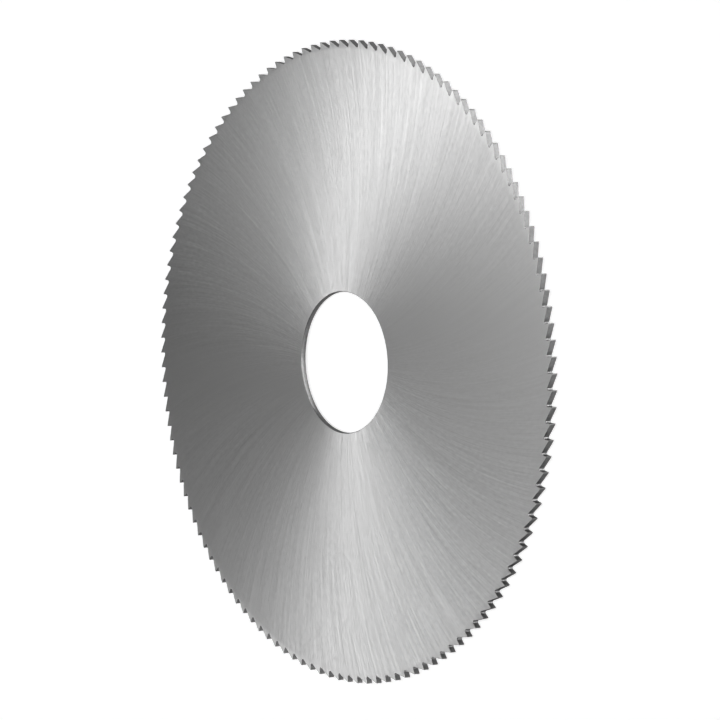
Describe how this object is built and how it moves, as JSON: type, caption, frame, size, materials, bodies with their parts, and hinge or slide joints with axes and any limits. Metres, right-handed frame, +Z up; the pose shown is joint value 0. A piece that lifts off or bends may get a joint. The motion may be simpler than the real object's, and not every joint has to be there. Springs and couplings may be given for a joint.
{
  "type": "slitting saw",
  "caption": "Thin round slitting saw: a ground steel disc with a plain central bore and a ring of fine teeth that all point one way round.",
  "frame": {"origin": "centre of the bore, on the plane that the saw lies on", "axes": "+Z up along the saw's axis as it lies flat, +X through a tooth tip; seen from +Z the teeth point counter-clockwise"},
  "size_m": [0.1, 0.1, 0.001],
  "materials": {
    "ground_steel": "bright ground, fine curved grinding lines from bore to rim"
  },
  "bodies": {
    "root": {"saw_blade": "ground_steel"}
  },
  "joints": []
}
